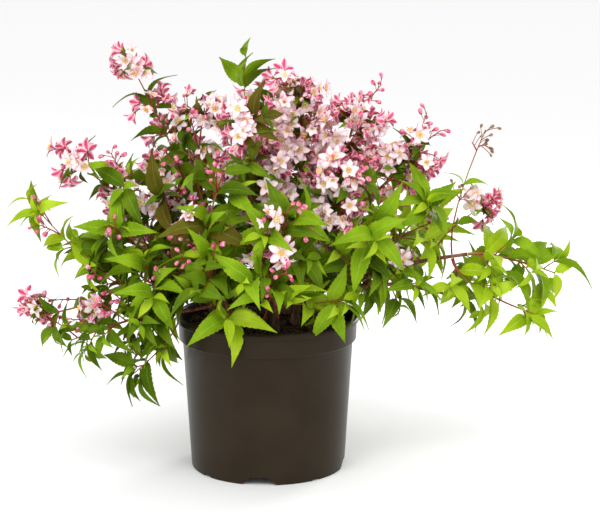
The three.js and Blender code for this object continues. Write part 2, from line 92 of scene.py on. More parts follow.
soft_light("key_light", (-1.1, -1.7, 1.9), (0, 0, 0.25), 1.1, 1.1, 22)
soft_light("front_light", (0.5, -1.2, 1.9), (0, 0, 0.2), 0.8, 0.5, 8)
soft_light("right_strip", (0.95, 1.3, 0.45), (0, 0, 0.12), 0.6, 1.1, 14)

bpy.ops.mesh.primitive_plane_add(size=30, location=(0, 0, 0))
floor = bpy.context.object
floor.name = "studio_floor"
floor_paint = bpy.data.materials.new("pale_floor")
floor_paint.use_nodes = True
floor_shader = floor_paint.node_tree.nodes["Principled BSDF"]
floor_shader.inputs["Base Color"].default_value = (FLOOR_GREY, FLOOR_GREY, FLOOR_GREY, 1)
floor_shader.inputs["Roughness"].default_value = 0.9
floor.data.materials.append(floor_paint)

# The nursery pot: one injection-moulded shell of dark satin plastic. It has a rolled lip, a deep rim
# band, a floor raised round a centre pad, and drain gaps and small nicks cut into its lower edge.
MM = 0.001
POT_SIDES = 144
POT_CREASE = 28
# Radius and height of each ring in millimetres, from under the centre pad, up the outside, over the
# rolled lip, and down the inside to the floor
POT_RINGS = [
    (38, 0), (42, 7.5), (71, 7.5), (76, 0), (79.2, 0), (80, 0.9), (80.6, 9), (84.3, 70), (88.4, 135.2),
    (88.9, 136.2), (91.4, 136.6), (92, 137.4), (92.1, 139), (92.6, 154), (92.7, 155.3), (94.2, 155.6),
    (95, 156.4), (95, 159), (94.8, 160), (94.2, 160.9), (93.4, 161.6), (92.4, 162), (91.4, 162),
    (90.6, 161.5), (90, 160.3), (89.9, 139.2), (86.4, 137), (78.2, 9.5), (41, 9.5), (37, 2),
]
# Width at the foot, width at the top, and height of each cut
DRAIN_GAP = (38, 20, 8.1)
NICK = (11, 9, 2.2)
FIRST_DRAIN = 263
CUT_RADIUS = 73.5
CUT_DEPTH = 43
CUT_BELOW = 1


def start_piece():
    bpy.ops.object.select_all(action="DESELECT")


def ring_by_ring(name, rings, sides):
    # Draws a round shell outwards from its first ring and closes both ends.
    start_piece()
    radius, height = rings[0]
    bpy.ops.mesh.primitive_circle_add(vertices=sides, radius=radius * MM, location=(0, 0, 0))
    shell = bpy.context.object
    shell.name = name
    bpy.ops.object.mode_set(mode="EDIT")
    bpy.ops.mesh.select_all(action="SELECT")
    bpy.ops.transform.translate(value=(0, 0, height * MM))
    bpy.ops.mesh.duplicate()
    for next_radius, next_height in rings[1:]:
        rise = (0, 0, (next_height - height) * MM)
        bpy.ops.mesh.extrude_edges_move(TRANSFORM_OT_translate={"value": rise})
        size = next_radius / radius
        bpy.ops.transform.resize(value=(size, size, 1), center_override=(0, 0, next_height * MM))
        radius, height = next_radius, next_height
    bpy.ops.mesh.edge_face_add()
    bpy.ops.mesh.select_all(action="SELECT")
    bpy.ops.mesh.remove_doubles(threshold=1e-6)
    bpy.ops.mesh.select_all(action="DESELECT")
    bpy.ops.mesh.select_non_manifold()
    bpy.ops.mesh.edge_face_add()
    bpy.ops.mesh.select_all(action="SELECT")
    bpy.ops.mesh.normals_make_consistent(inside=False)
    bpy.ops.object.mode_set(mode="OBJECT")
    return shell


def foot_wedge(bearing, shape):
    # A block through the wall, narrower above, that is cut away from the lower edge.
    width, top_width, height = shape
    start_piece()
    bpy.ops.mesh.primitive_cube_add(size=1, location=(0, 0, 0))
    wedge = bpy.context.object
    bpy.ops.object.mode_set(mode="EDIT")
    bpy.ops.mesh.select_all(action="SELECT")
    bpy.ops.transform.resize(value=(width * MM, CUT_DEPTH * MM, (height + CUT_BELOW) * MM))
    bpy.ops.transform.translate(value=(0, CUT_RADIUS * MM, (height - CUT_BELOW) / 2 * MM))
    bpy.ops.object.mode_set(mode="OBJECT")
    for corner in wedge.data.vertices:
        if corner.co.z > 0:
            corner.co.x *= top_width / width
    wedge.rotation_euler = (0, 0, math.radians(bearing - 90))
    bpy.ops.object.transform_apply(location=False, rotation=True, scale=False)
    return wedge


def cut_away(piece, tool):
    start_piece()
    piece.select_set(True)
    bpy.context.view_layer.objects.active = piece
    cut = piece.modifiers.new("cut", "BOOLEAN")
    cut.operation = "DIFFERENCE"
    cut.object = tool
    bpy.ops.object.modifier_apply(modifier=cut.name)
    bpy.data.objects.remove(tool)


pot = ring_by_ring("nursery_pot", POT_RINGS, POT_SIDES)
for quarter in range(4):
    cut_away(pot, foot_wedge(FIRST_DRAIN + 90 * quarter, DRAIN_GAP))
    cut_away(pot, foot_wedge(FIRST_DRAIN + 45 + 90 * quarter, NICK))
start_piece()
pot.select_set(True)
bpy.ops.object.shade_smooth_by_angle(angle=math.radians(POT_CREASE))


def wire(tree, *links):
    for source, output, target, socket in links:
        tree.links.new(source.outputs[output], target.inputs[socket])


def add_math(tree, operation, second=0.0):
    made = tree.nodes.new("ShaderNodeMath")
    made.operation = operation
    made.inputs[1].default_value = second
    return made


def add_range(tree, start, stop, low=0.0, high=1.0):
    # Turns start into low and stop into high, and what lies between likewise.
    made = tree.nodes.new("ShaderNodeMapRange")
    made.inputs["From Min"].default_value = start
    made.inputs["From Max"].default_value = stop
    made.inputs["To Min"].default_value = low
    made.inputs["To Max"].default_value = high
    return made


def make_mottle_group():
    # Soft patches with a finer grain over them, as a mask, as the grain alone and as a height.
    group = bpy.data.node_groups.new("mottle", "ShaderNodeTree")
    for socket, kind in [("Vector", "Vector"), ("Patches", "Float"), ("Grain", "Float")]:
        group.interface.new_socket(socket, in_out="INPUT", socket_type="NodeSocket" + kind)
    for socket in ["Mask", "Fine", "Height"]:
        group.interface.new_socket(socket, in_out="OUTPUT", socket_type="NodeSocketFloat")
    inside = group.nodes.new("NodeGroupInput")
    outside = group.nodes.new("NodeGroupOutput")
    patches = group.nodes.new("ShaderNodeTexNoise")
    patches.inputs["Detail"].default_value = 3
    grain = group.nodes.new("ShaderNodeTexNoise")
    grain.inputs["Detail"].default_value = 4
    spread = add_range(group, 0.32, 0.68)
    grain_on_patches = add_math(group, "MULTIPLY_ADD", 0.6)
    wire(
        group,
        (inside, "Vector", patches, "Vector"), (inside, "Patches", patches, "Scale"),
        (inside, "Vector", grain, "Vector"), (inside, "Grain", grain, "Scale"),
        (patches, "Fac", spread, "Value"), (spread, "Result", outside, "Mask"),
        (grain, "Fac", outside, "Fine"),
        (grain, "Fac", grain_on_patches, 0), (patches, "Fac", grain_on_patches, 2),
        (grain_on_patches, "Value", outside, "Height"),
    )
    return group


MOTTLE = make_mottle_group()


def mottled_finish(name, colours, patches, grain, roughness, bump, depth, stretch=(1, 1, 1), sheen=0.2):
    # A material in three tones laid out by the mottle, with roughness and relief from its grain.
    finish = bpy.data.materials.new(name)
    finish.use_nodes = True
    tree = finish.node_tree
    shader = tree.nodes["Principled BSDF"]
    shader.inputs["Specular IOR Level"].default_value = sheen
    where = tree.nodes.new("ShaderNodeTexCoord")
    turn = tree.nodes.new("ShaderNodeMapping")
    turn.inputs["Scale"].default_value = stretch
    mottle = tree.nodes.new("ShaderNodeGroup")
    mottle.node_tree = MOTTLE
    mottle.inputs["Patches"].default_value = patches
    mottle.inputs["Grain"].default_value = grain
    tones = tree.nodes.new("ShaderNodeValToRGB")
    tones.name = "tones"
    tones.color_ramp.elements.new(0.5)
    for stop, colour in zip(tones.color_ramp.elements, colours):
        stop.color = (*colour, 1)
    rough = add_range(tree, 0, 1, *roughness)
    relief = tree.nodes.new("ShaderNodeBump")
    relief.inputs["Strength"].default_value = bump
    relief.inputs["Distance"].default_value = depth * MM
    wire(
        tree,
        (where, "Object", turn, "Vector"), (turn, "Vector", mottle, "Vector"),
        (mottle, "Mask", tones, "Fac"), (tones, "Color", shader, "Base Color"),
        (mottle, "Fine", rough, "Value"), (rough, "Result", shader, "Roughness"),
        (mottle, "Height", relief, "Height"), (relief, "Normal", shader, "Normal"),
    )
    return finish


def wear(piece, finish):
    piece.data.materials.clear()
    piece.data.materials.append(finish)


pot_plastic = mottled_finish(
    "pot_plastic",
    [(0.025, 0.018, 0.011), (0.028, 0.020, 0.0125), (0.031, 0.0225, 0.0145)],
    patches=22, grain=900, roughness=(0.28, 0.36), bump=0.06, depth=0.1, sheen=0.12,
)
plastic_shader = pot_plastic.node_tree.nodes["Principled BSDF"]
plastic_shader.inputs["Specular Tint"].default_value = (0.85, 0.72, 0.60, 1)
wear(pot, pot_plastic)
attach(pot, "root")
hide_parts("pot")

# Potting compost: dark moist peat and composted bark. It fills the pot to just under the lip, lumpy
# on top, and is strewn with crumbs that lie any way up and short fibres that lie flat.
SOIL_LEVEL = 151
SOIL_SIDES = 120
SOIL_WALL = [(77, 9.8), (85.6, 136), (85.6, 148)]
SOIL_TOP = [(85 - 3 * i, 148.6 + min(2.4, 0.5 * i)) for i in range(28)]
LUMPY_ABOVE = 147
LUMP_HEIGHT = 4.2
STREWN_REACH = 84
CRUMB_COUNT = 1500
FIBRE_COUNT = 900
FIBRE_WIDTHS = (0.6, 0.45)
STREWN_SEED = 41

compost = ring_by_ring("compost_fill", SOIL_WALL + SOIL_TOP, SOIL_SIDES)
top_of_soil = compost.vertex_groups.new(name="top")
top_of_soil.add([v.index for v in compost.data.vertices if v.co.z > LUMPY_ABOVE * MM], 1, "REPLACE")
lumps = bpy.data.textures.new("soil_lumps", "CLOUDS")
lumps.noise_scale = 0.011
lumps.noise_depth = 4
heave = compost.modifiers.new("heave", "DISPLACE")
heave.texture = lumps
heave.vertex_group = "top"
heave.direction = "Z"
heave.strength = LUMP_HEIGHT * MM
heave.mid_level = 0.62
bpy.ops.object.modifier_apply(modifier=heave.name)
bpy.ops.object.shade_smooth()

compost_dark = mottled_finish(
    "compost_dark",
    [(0.012, 0.007, 0.005), (0.045, 0.026, 0.017), (0.15, 0.088, 0.055)],
    patches=140, grain=700, roughness=(0.85, 1.0), bump=0.9, depth=1.2,
)
wear(compost, compost_dark)
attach(compost, "root")
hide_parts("compost")


class Sheaf:
    # Many small like pieces, gathered as arrays and joined into one mesh.
    CREASE = math.radians(60)

    def __init__(self):
        self.corners, self.faces, self.maps, self.count = [], [], [], 0

    def add(self, corners, faces, maps=None):
        self.corners.append(np.asarray(corners, dtype=np.float32))
        self.faces.extend([[i + self.count for i in face] for face in faces])
        self.maps.append(np.zeros((len(corners), 2), np.float32) if maps is None else maps)
        self.count += len(corners)

    def piece(self, name, finish, slot):
        mesh = bpy.data.meshes.new(name)
        corners = np.concatenate(self.corners) * MM
        mesh.from_pydata(corners.tolist(), [], self.faces)
        maps = np.concatenate(self.maps)
        which = np.empty(len(mesh.loops), np.int32)
        mesh.loops.foreach_get("vertex_index", which)
        mesh.uv_layers.new(name="UVMap").data.foreach_set("uv", maps[which].astype(np.float32).ravel())
        mesh.polygons.foreach_set("use_smooth", np.ones(len(mesh.polygons), bool))
        mesh.set_sharp_from_angle(angle=self.CREASE)
        mesh.materials.append(finish)
        made = bpy.data.objects.new(name, mesh)
        scene.collection.objects.link(made)
        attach(made, "root")
        return made


def form_of_primitive():
    # Takes the mesh of the primitive just made as arrays, and removes the primitive.
    primitive = bpy.context.object
    corners = np.array([v.co[:] for v in primitive.data.vertices])
    faces = [list(f.vertices) for f in primitive.data.polygons]
    bpy.data.objects.remove(primitive)
    return corners, faces


start_piece()
bpy.ops.mesh.primitive_ico_sphere_add(subdivisions=1, radius=1)
crumb_corners, crumb_faces = form_of_primitive()
turned_over = [face[::-1] for face in crumb_faces]
strewn_random = np.random.default_rng(STREWN_SEED)
crumbs, fibres = Sheaf(), Sheaf()
for kind, count in [(crumbs, CRUMB_COUNT), (fibres, FIBRE_COUNT)]:
    for _ in range(count):
        reach = STREWN_REACH * math.sqrt(strewn_random.random())
        bearing = strewn_random.random() * 2 * math.pi
        size = 0.7 + 1.7 * strewn_random.random() ** 2
        shape = size * (0.6 + 0.7 * strewn_random.random(3))
        if kind is fibres:
            shape = np.array([2.5 + 5 * strewn_random.random(), *FIBRE_WIDTHS])
        turned, _ = np.linalg.qr(strewn_random.normal(size=(3, 3)))
        if kind is fibres:
            spin = strewn_random.random() * math.pi
            cosine, sine = math.cos(spin), math.sin(spin)
            turned = np.array([[cosine, -sine, 0], [sine, cosine, 0.1], [0, 0, 1]])
        rough = crumb_corners * shape * (0.8 + 0.4 * strewn_random.random((len(crumb_corners), 1)))
        height = SOIL_LEVEL - 0.2 + 0.4 * size
        at = np.array([reach * math.cos(bearing), reach * math.sin(bearing), height])
        kind.add(rough @ turned.T + at, crumb_faces if np.linalg.det(turned) > 0 else turned_over)
crumbs.piece("compost_crumbs", compost_dark, "compost")
fibre_brown = mottled_finish(
    "fibre_brown",
    [(0.045, 0.024, 0.014), (0.11, 0.062, 0.036), (0.22, 0.14, 0.08)],
    patches=90, grain=600, roughness=(0.8, 0.95), bump=0.5, depth=0.3,
)
fibres.piece("compost_fibres", fibre_brown, "compost")

# The stems and boughs: thin woody shoots from one crown under the compost, grey-brown at the foot
# and redder above. Each is a tapering tube with a slight swelling at every joint and peeling bark.
GROUND = SOIL_LEVEL + 0.3
CLEARANCE = 0.3
FOOT_FLARE = 0.3
FLARE_FADE = 14
JOINT_SPACING = 11
JOINT_SWELLING = (1.1, 0.96)
BOUGH_FIRMNESS = 0.3
RIDGE_HEIGHT = 0.9
# How far out and up a stem's middle lies, as shares of the way from foot to tip
MIDDLE_OUT, MIDDLE_UP = 0.3, 0.62
# Each stem: bearing and reach of its foot, bearing, reach and height of its tip, radii at both ends
STEMS = {
    "stem_left": ((189, 52), (187, 82, 204), (4.6, 3.1)),
    "stem_front_left": ((224, 44), (221, 74, 198), (3.8, 2.6)),
    "stem_upper_left": ((180, 25), (180, 63, 272), (4.4, 2.7)),
    "stem_centre": ((60, 6), (20, 16, 296), (4.6, 2.7)),
    "stem_upper_right": ((350, 28), (351, 58, 276), (4.2, 2.6)),
    "stem_right": ((333, 50), (346, 97, 202), (4.4, 3.1)),
    "stem_right_back": ((20, 52), (20, 104, 180), (3.8, 2.7)),
    "stem_back_left": ((135, 40), (133, 96, 222), (4.2, 2.8)),
    "stem_back_right": ((62, 40), (62, 88, 232), (4.2, 2.8)),
    "stem_front": ((282, 36), (279, 66, 208), (3.8, 2.5)),
    "pruned_stem": ((40, 52), (31, 136, 178), (4, 3.4)),
}
# Each bough: its stem, the share along it where it leaves, its tip, and radii at both ends
BOUGHS = {
    "bough_left": ("stem_left", 1, (187, 164, 210), (2.6, 1.7)),
    "bough_left_low": ("stem_front_left", 0.7, (207, 118, 176), (2.2, 1.5)),
    "bough_plume": ("stem_upper_left", 0.9, (178, 98, 336), (2.1, 1.5)),
    "bough_dome_right": ("stem_upper_right", 0.9, (2, 120, 296), (2.1, 1.5)),
    "bough_right": ("stem_right", 1, (352, 206, 230), (2.7, 1.7)),
    "bough_right_low": ("stem_right_back", 1, (9, 190, 174), (2.2, 1.5)),
    "bough_back_low_left": ("stem_back_left", 0.7, (113, 138, 186), (2, 1.4)),
    "bough_back_low_right": ("stem_back_right", 0.66, (62, 140, 186), (2, 1.4)),
}


def place(bearing, reach, height):
    angle = math.radians(bearing)
    return np.array([reach * math.cos(angle), reach * math.sin(angle), height])


def unit(vector):
    return vector / np.linalg.norm(vector)


class Curve:
    # A smooth bend from a start past a middle to an end, with a radius that narrows along it.
    def __init__(self, start, middle, end, radii=(1, 1)):
        self.start, self.middle, self.end, self.radii = start, middle, end, radii

    def at(self, t):
        return (1 - t) ** 2 * self.start + 2 * t * (1 - t) * self.middle + t * t * self.end

    def heading(self, t):
        return unit(2 * (1 - t) * (self.middle - self.start) + 2 * t * (self.end - self.middle))

    def radius(self, t):
        return self.radii[0] + (self.radii[1] - self.radii[0]) * t

    def length(self):
        points = [self.at(i / 24) for i in range(25)]
        return sum(np.linalg.norm(b - a) for a, b in zip(points, points[1:]))


def springs_from(limb, at, end):
    # Where and which way a branch leaves a limb: on from its tip, or square off its side.
    centre, tangent = limb.at(at), limb.heading(at)
    if at == 1:
        return centre + CLEARANCE * tangent, tangent
    away = end - centre
    heading = unit(away - tangent * away.dot(tangent))
    return centre + (limb.radius(at) + CLEARANCE) * heading, heading


def branch(limb, at, end, firmness, radii):
    start, heading = springs_from(limb, at, end)
    return Curve(start, start + firmness * np.linalg.norm(end - start) * heading, end, radii)


limbs = {}
for name, (foot, tip, radii) in STEMS.items():
    start, end = place(*foot, GROUND), place(*tip)
    middle = start + MIDDLE_OUT * (end - start)
    middle[2] = start[2] + MIDDLE_UP * (end[2] - start[2])
    limbs[name] = Curve(start, middle, end, radii)
for name, (parent, at, tip, radii) in BOUGHS.items():
    limbs[name] = branch(limbs[parent], at, place(*tip), BOUGH_FIRMNESS, radii)

bark_ridges = bpy.data.textures.new("bark_ridges", "CLOUDS")
bark_ridges.noise_scale = 0.0035
bark_ridges.noise_depth = 3


def limb_piece(name, finish, foot_flare):
    # Draws a limb as a thick curve through its joints, makes it a mesh and raises its bark.
    limb = limbs[name]
    start_piece()
    bpy.ops.curve.primitive_bezier_curve_add(location=(0, 0, 0))
    drawn = bpy.context.object
    drawn.name = "bark_" + name
    joints = max(4, round(limb.length() / JOINT_SPACING))
    spline = drawn.data.splines[0]
    spline.bezier_points.add(joints - 1)
    for i, point in enumerate(spline.bezier_points):
        t = i / joints
        flare = foot_flare * limb.radii[0] * math.exp(-FLARE_FADE * t)
        point.co = limb.at(t) * MM
        point.handle_left_type = point.handle_right_type = "AUTO"
        point.radius = limb.radius(t) * JOINT_SWELLING[i % 2] + flare
    drawn.data.dimensions = "3D"
    drawn.data.resolution_u = 7
    drawn.data.bevel_depth = MM
    drawn.data.bevel_resolution = 3
    drawn.data.use_fill_caps = True
    bpy.ops.object.convert(target="MESH")
    piece = bpy.context.object
    ridges = piece.modifiers.new("ridges", "DISPLACE")
    ridges.texture = bark_ridges
    ridges.strength = RIDGE_HEIGHT * MM
    ridges.mid_level = 0.5
    bpy.ops.object.modifier_apply(modifier=ridges.name)
    bpy.ops.object.shade_smooth()
    wear(piece, finish)
    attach(piece, "root")
    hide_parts(name)


bark = mottled_finish(
    "peeling_bark",
    [(0.085, 0.042, 0.026), (0.19, 0.10, 0.06), (0.34, 0.22, 0.15)],
    patches=260, grain=1500, roughness=(0.7, 0.92), bump=0.7, depth=0.5, stretch=(1, 1, 0.16),
)
young_bark = mottled_finish(
    "young_bark",
    [(0.10, 0.022, 0.012), (0.20, 0.065, 0.032), (0.30, 0.15, 0.075)],
    patches=200, grain=1300, roughness=(0.5, 0.7), bump=0.4, depth=0.3, stretch=(1, 1, 0.25),
)
for name in STEMS:
    limb_piece(name, bark, FOOT_FLARE)
for name in BOUGHS:
    limb_piece(name, young_bark, 0)

# The growth: each mass of foliage is one green or red twig with opposite side shoots. They carry
# pairs of leaves, or end in loose clusters of flowers and buds, by the same seeded rule as the
# solids, carried to finer shoots. Twigs and stalks are thin tubes, each kind joined into one piece.
SEED = 7301
# name, limb that carries it, share along that limb, and bearing, reach and height of its end;
# pairs of shoots, their length, share of them in flower, leaf length, how far shoots lift, bare share;
# tone, finer shoots to each pair, share of those that are bud stalks, bend, and whether it is spent
Mass = namedtuple(
    "Mass", "name limb at end pairs shoot bloom leaf lift bare tone finer sprays bend spent",
    defaults=(0, 0, 0.28, False),
)
MASSES = [
    Mass("plume_top_left", "bough_plume", 1, (180, 142, 430), 3, 15, 1, 36, 0.2, 0.2, "bronze"),
    Mass("plume_left", "stem_upper_left", 0.86, (179, 208, 332), 3, 24, 1, 36, 0, 0.5, "bronze"),
    Mass("far_left_spray", "bough_left", 1, (182, 246, 286), 3, 16, 0, 36, 0.1, 0.3, "fresh",
         1, 0.4, bend=0.12),
    Mass("left_upper", "bough_plume", 0.45, (187, 152, 308), 2, 24, 0.3, 50, 0, 0.2, "deep", 2, 0.3),
    Mass("left_middle", "bough_left", 0.5, (190, 166, 250), 3, 34, 0.1, 46, 0, 0.2, "deep", 1, 0.6),
    Mass("left_low_tip", "bough_left", 0.85, (191, 240, 170), 3, 32, 0.5, 32, -0.1, 0.2, "deep", 1, 0.6),
    Mass("left_low", "bough_left_low", 1, (196, 208, 148), 4, 30, 0, 32, 0.1, 0.2, "deep",
         2, 0.5, bend=0.2),
    Mass("left_hang", "bough_left_low", 0.8, (205, 154, 112), 2, 14, 0, 44, -0.4, 0.5, "deep"),
    Mass("left_inner", "stem_left", 0.7, (206, 140, 212), 3, 34, 0, 52, 0, 0.2, "deep", 2, 0.4),
    Mass("dome_left", "stem_upper_left", 1, (184, 62, 386), 3, 34, 0.75, 36, 0.2, 0.2, "bronze", 2, 0.2),
    Mass("top_shoot", "stem_centre", 0.92, (150, 25, 430), 3, 8, 0, 40, 1.2, 0.88, "green"),
    Mass("dome_centre", "stem_centre", 1, (352, 36, 400), 4, 36, 0.85, 34, 0.2, 0.2, "bronze", 3, 0.25),
    Mass("dome_right", "stem_upper_right", 1, (0, 94, 374), 4, 36, 0.85, 34, 0.2, 0.2, "bronze", 3, 0.3),
    Mass("dome_far_right", "bough_dome_right", 1, (3, 158, 338), 3, 32, 0.9, 34, 0.1, 0.2, "deep", 2, 0.45),
    Mass("sprig_right", "bough_right", 0.9, (4, 225, 351), 2, 14, 1, 26, 0.3, 0.55, "green", spent=True),
    Mass("flower_right", "bough_right", 0.78, (4, 232, 277), 1, 12, 1, 30, 0, 0.9, "green"),
    Mass("right_front", "stem_right", 0.84, (323, 138, 276), 3, 30, 0, 52, 0, 0.2, "green", 1, 0.3),
    Mass("right_middle", "bough_right", 0.4, (353, 168, 280), 3, 34, 0.2, 46, 0, 0.2, "fresh", 1, 0.5),
    Mass("right_far", "bough_right", 1, (356, 296, 208), 4, 30, 0, 50, -0.05, 0.2, "fresh"),
    Mass("right_far_low", "bough_right", 0.9, (350, 280, 170), 3, 26, 0, 40, 0.1, 0.2, "fresh"),
    Mass("right_under", "bough_right", 0.2, (340, 164, 204), 3, 28, 0, 38, 0.1, 0.2, "green"),
    Mass("right_back_low", "bough_right_low", 1, (10, 225, 198), 2, 24, 0, 40, 0.1, 0.2, "green"),
    Mass("front_left", "stem_front_left", 1, (240, 86, 326), 4, 34, 0.2, 52, 0, 0.2, "deep", 2, 0.5),
    Mass("front_centre", "stem_front", 1, (279, 108, 290), 4, 34, 0.5, 48, 0, 0.2, "deep", 2, 0.5),
    Mass("front_low_left", "stem_front_left", 0.82, (238, 118, 232), 3, 34, 0, 50, 0, 0.2, "deep", 2, 0.5),
    Mass("front_low", "stem_front", 0.8, (270, 120, 228), 4, 32, 0, 50, 0, 0.2, "green", 2, 0.5),
    Mass("rim_front_left", "stem_front_left", 0.5, (250, 118, 184), 3, 9, 0, 52, -0.3, 0.4, "fresh"),
    Mass("rim_front_right", "stem_front", 0.55, (313, 112, 196), 2, 12, 0, 44, -0.3, 0.5, "fresh"),
    Mass("dome_front", "stem_centre", 0.8, (250, 70, 380), 3, 36, 0.7, 38, 0.1, 0.2, "bronze", 3, 0.15),
    Mass("dome_front_right", "stem_upper_right", 0.84, (317, 110, 322), 4, 34, 0.75, 38, 0.1, 0.2, "deep",
         3, 0.2),
    Mass("back_left", "stem_back_left", 1, (133, 160, 300), 3, 42, 0.4, 54, 0, 0.2, "deep", 2, 0.3),
    Mass("back_centre", "stem_back_right", 0.88, (95, 140, 304), 3, 42, 0.5, 54, 0, 0.2, "green", 2, 0.3),
    Mass("back_right", "stem_back_right", 1, (47, 166, 292), 3, 42, 0.5, 54, 0, 0.2, "green", 2, 0.3),
    Mass("back_low_left", "bough_back_low_left", 1, (114, 184, 200), 2, 36, 0, 52, 0, 0.2, "green", 2, 0.2),
    Mass("back_low_right", "bough_back_low_right", 1, (64, 186, 202), 2, 36, 0, 52, 0, 0.2, "fresh",
         2, 0.2),
    Mass("back_top", "stem_centre", 0.86, (84, 70, 374), 3, 42, 0.7, 40, 0.2, 0.2, "bronze", 3, 0.15),
    Mass("left_back", "stem_back_left", 0.86, (157, 180, 236), 2, 38, 0.2, 52, 0, 0.2, "deep", 2, 0.3),
    Mass("right_back", "stem_right_back", 0.86, (27, 200, 236), 3, 38, 0.2, 52, 0, 0.2, "green", 2, 0.3),
]
UP = np.array([0.0, 0.0, 1.0])
STEM_RADII = (1.8, 0.7)
SPRIG_RADII = (1.0, 0.5)
SHOOT_RADII = (0.85, 0.5)
STALK_RADII = (0.45, 0.38)
LONGEST_SPRIG_SHOOT = 18
LONG_SHOOT = 28
SHORTEST_SHOOT = 10
SHOOT_STAGGER = 3
PAIR_SPACING = 16
NODE_SPACING = 24
LAST_PAIR = 0.9
LAST_JOINT = 0.97
TIP = 0.99
CLUSTER_LENGTH = 12
LIFE_SIZE = 0.96
GOLDEN_TURN = 2.4
LEAN = 2.4
IN_BUD_SHARE = 0.16
SPENT_STALK, BUD_STALK, FLOWER_STALK, STALK_RANGE = 8, 4, 6, 7
TONES = ("fresh", "green", "deep", "bronze")
# For a mass of each tone, the chances below which a shoot takes the tones above
TONE_SHARES = {
    "fresh": (0.66, 1, 1, 1), "green": (0.16, 0.68, 1, 1),
    "deep": (0, 0.22, 0.9, 1), "bronze": (0, 0.12, 0.45, 1),
}
ROOM_MARGIN = 10
LIP_TOP = 163
OUTSIDE_WALL = 96.5
INSIDE_WALL = 88
FLOOR_CLEARANCE = 4
MOUTH_LEFT, MOUTH_RIGHT, MOUTH_FRONT, FRONT_HEM = -95, 88, -25, 203
TIP_DROOP = 0.2
TRIED_ALONG = (0.3, 0.5, 0.7, 0.85, 1)
TRIED_TURNS = (0, 0.5, -0.5, 1, -1)
low_corner, high_corner = (np.array(c[:]) / MM for c in cad_box)
twigs, stalks = Sheaf(), Sheaf()
leaves = {tone: [] for tone in TONES}
flowers, buds = [], {"pink": [], "spent": []}


def seeded_random(seed):
    # The same numbers from the same seed, each between 0 and 1, as in the part's own source.
    state = seed & 0xFFFFFFFF

    def mix(a, b):
        return (a * b) & 0xFFFFFFFF

    def following():
        nonlocal state
        state = (state + 0x6D2B79F5) & 0xFFFFFFFF
        mixed = mix(state ^ (state >> 15), state | 1)
        mixed ^= (mixed + mix(mixed ^ (mixed >> 7), mixed | 61)) & 0xFFFFFFFF
        return ((mixed ^ (mixed >> 14)) & 0xFFFFFFFF) / 4294967296

    return following


def blend(*shares):
    return unit(sum(np.asarray(direction) * share for direction, share in shares))


def around(direction, angle):
    # A direction square to the given one, at an angle from the level.
    level = np.cross(direction, UP)
    if level.dot(level) < 0.02:
        level = np.array([1.0, 0, 0]) - direction * direction[0]
    level = unit(level)
    return level * math.cos(angle) + np.cross(level, direction) * math.sin(angle)


def sky_at(point, lean):
    # Where the light comes from at a point of the crown: up, and out from the middle.
    outwards = unit(np.array([point[0], point[1], 0]))
    turned = outwards * math.cos(lean) + np.cross(UP, outwards) * math.sin(lean)
    return blend((UP, 0.5), (turned, 0.75))


def has_room(point):
    # Inside the plant's reach, and clear of the pot's wall, the compost and the floor.
    inside = all(low_corner - ROOM_MARGIN < point) and all(point < high_corner + ROOM_MARGIN)
    reach = math.hypot(point[0], point[1])
    if point[2] > LIP_TOP:
        return inside
    if reach > OUTSIDE_WALL:
        return inside and point[2] > FLOOR_CLEARANCE
    return inside and reach < INSIDE_WALL and point[2] > SOIL_LEVEL + 1


def tube(sheaf, points, radii, sides=5):
    # A thin closed twig through a row of points.
    rings, faces, across = [], [], None
    for i, point in enumerate(points):
        ahead = unit(points[min(i + 1, len(points) - 1)] - points[max(i - 1, 0)])
        across = around(ahead, 0) if across is None else unit(across - ahead * across.dot(ahead))
        beside = np.cross(ahead, across)
        radius = radii[0] + (radii[1] - radii[0]) * i / (len(points) - 1)
        for k in range(sides):
            angle = 2 * math.pi * k / sides
            rings.append(point + radius * (across * math.cos(angle) + beside * math.sin(angle)))
    for i in range(len(points) - 1):
        for k in range(sides):
            a, b = i * sides + k, i * sides + (k + 1) % sides
            faces.append([a, b, b + sides, a + sides])
    faces.append(list(range(sides))[::-1])
    faces.append([(len(points) - 1) * sides + k for k in range(sides)])
    sheaf.add(rings, faces)


def hides_compost(point, mass):
    # The compost shows below the front leaves, apart from the two sprays that hang over the rim.
    in_front = MOUTH_LEFT < point[0] < MOUTH_RIGHT and point[1] < MOUTH_FRONT and point[2] < FRONT_HEM
    return in_front and not mass.name.startswith("rim_")


def pick_tone(mass, random):
    chance = random()
    return next(tone for tone, share in zip(TONES, TONE_SHARES[mass.tone]) if chance <= share)


def leaf_fits(root, along, size):
    # Tries the midrib, which droops towards its tip, against the pot and the plant's reach.
    return all(has_room(root + size * t * (along - TIP_DROOP * t * UP)) for t in TRIED_ALONG)


def add_leaf(curve, t, angle, size, mass, tone, random):
    # Places a leaf, turned a little round its twig where it would not fit, or leaves it out.
    root, tangent = curve.at(t), curve.heading(t)
    sky = sky_at(root, (random() - 0.5) * LEAN)
    for turn in TRIED_TURNS:
        aside = around(tangent, angle + turn)
        along = blend((aside, 0.8), (tangent, 0.5), (UP, mass.lift * 0.5 - 0.15))
        if leaf_fits(root, along, size) and not hides_compost(root + along * size, mass):
            leaves[tone].append((root, along, sky, size, random()))
            return


def add_leaf_pair(curve, t, angle, size, mass, tone, random):
    for half in (0, 1):
        add_leaf(curve, t, angle + half * math.pi, size * (0.9 + 0.2 * random()), mass, tone, random)


